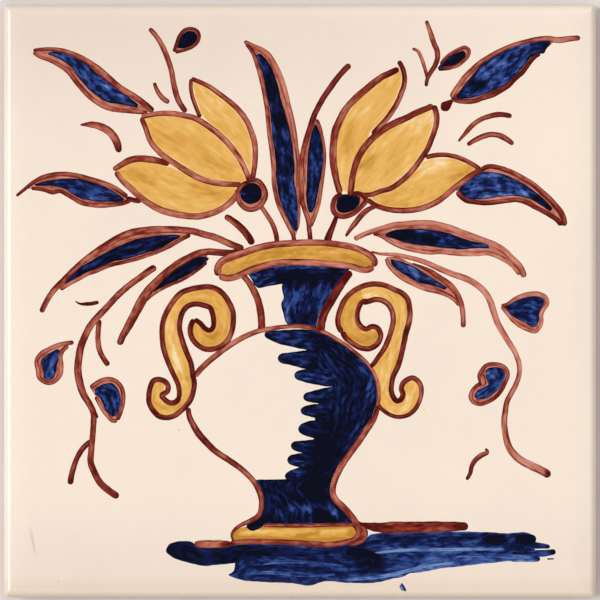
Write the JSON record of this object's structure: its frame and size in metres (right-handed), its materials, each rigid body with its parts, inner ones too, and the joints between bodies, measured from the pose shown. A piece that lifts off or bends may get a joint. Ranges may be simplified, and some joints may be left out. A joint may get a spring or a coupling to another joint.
{
  "type": "azulejo tile",
  "caption": "Square glazed earthenware wall tile with rounded edges and a keyed back, painted on its face with a vase of flowers.",
  "frame": {"origin": "centre of the bedding plane, the flat lattice of the keyed back that the tile lies on", "axes": "+Z out of the glazed face, +Y to the top of the painted picture, +X to the picture's right"},
  "size_m": [0.15, 0.15, 0.007],
  "materials": {
    "glaze": "gloss",
    "cobalt_paint": "gloss",
    "yellow_paint": "gloss",
    "manganese_paint": "gloss"
  },
  "bodies": {
    "root": {"tile": "glaze"}
  },
  "joints": []
}
